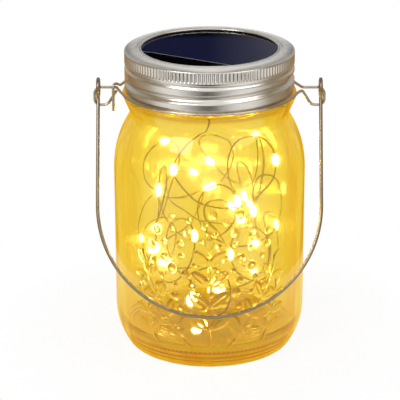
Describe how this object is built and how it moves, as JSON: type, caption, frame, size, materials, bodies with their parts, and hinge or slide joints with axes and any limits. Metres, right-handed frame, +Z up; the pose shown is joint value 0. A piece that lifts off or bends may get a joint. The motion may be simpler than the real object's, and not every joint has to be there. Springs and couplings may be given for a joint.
{
  "type": "mason jar lantern",
  "caption": "Amber glass jar lantern with a screw band, a solar lid insert, a string of small lamps inside and a wire bail hinged on a neck hoop.",
  "frame": {"origin": "centre of the jar's foot ring, on the plane it stands on", "axes": "+Z up along the jar's axis, -Y towards the front where the bail hangs, +X to the viewer's right"},
  "size_m": [0.1002, 0.0852, 0.1336],
  "materials": {
    "amber_glass": "clear amber glass, fire-polished",
    "bright_wire": "bright drawn wire",
    "tinplate": "satin tinplate",
    "silicone": "matte silicone",
    "black_plastic": "fine textured black plastic",
    "panel_board": "dark laminate",
    "silicon": "dark blue wafer under resin",
    "clear_resin": "clear glossy resin",
    "battery_sleeve": "plain green shrink sleeve",
    "plated_steel": "nickel plate",
    "zinc_screw": "bright zinc",
    "board_green": "solder mask",
    "chip_epoxy": "moulded epoxy",
    "ferrite": "fired ferrite",
    "switch_plastic": "moulded plastic",
    "grommet_rubber": "soft rubber",
    "red_insulation": "smooth insulation",
    "black_insulation": "smooth insulation",
    "string_wire": "enamelled wire",
    "lamp_resin": "clear resin over lit lamps"
  },
  "bodies": {
    "jar": {"glass_jar": "amber_glass", "neck_hoop": "bright_wire"},
    "bail": {"bail_handle": "bright_wire"},
    "solar_insert": {"rim_gasket": "silicone", "lid_housing": "black_plastic", "panel_backing": "panel_board", "solar_cell": "silicon", "panel_lens": "clear_resin", "bottom_cover": "black_plastic", "cover_screws": "zinc_screw", "battery_cell": "battery_sleeve", "plus_contact": "plated_steel", "minus_contact": "plated_steel", "minus_spring": "plated_steel", "circuit_board": "board_green", "control_chip": "chip_epoxy", "coil_inductor": "ferrite", "switch_body": "black_plastic", "string_grommet": "grommet_rubber", "red_leads": "red_insulation", "black_leads": "black_insulation", "string_wire": "string_wire", "led_drops": "lamp_resin"},
    "band": {"screw_band": "tinplate"},
    "switch": {"switch_slider": "switch_plastic"}
  },
  "joints": [
    {"name": "bail_swing", "type": "hinge", "parent": "jar", "child": "bail", "pos_m": [0, 0, 0.1155], "axis": [-1, 0, 0], "range_deg": [0, 308.7]},
    {"name": "insert_lift", "type": "slide", "parent": "jar", "child": "solar_insert", "axis": [0, 0, 1], "range_m": [0, 0.00636]},
    {"name": "band_turn", "type": "hinge", "parent": "solar_insert", "child": "band", "pos_m": [0, 0, 0.125], "axis": [0, 0, 1], "range_deg": [0, 450]},
    {"name": "switch_slide", "type": "slide", "parent": "solar_insert", "child": "switch", "axis": [1, 0, 0], "range_m": [-0.0025, 0]}
  ],
  "couplings": [
    {"joint": "insert_lift", "follows": "band_turn", "m_per_rad": 0.00080851}
  ]
}
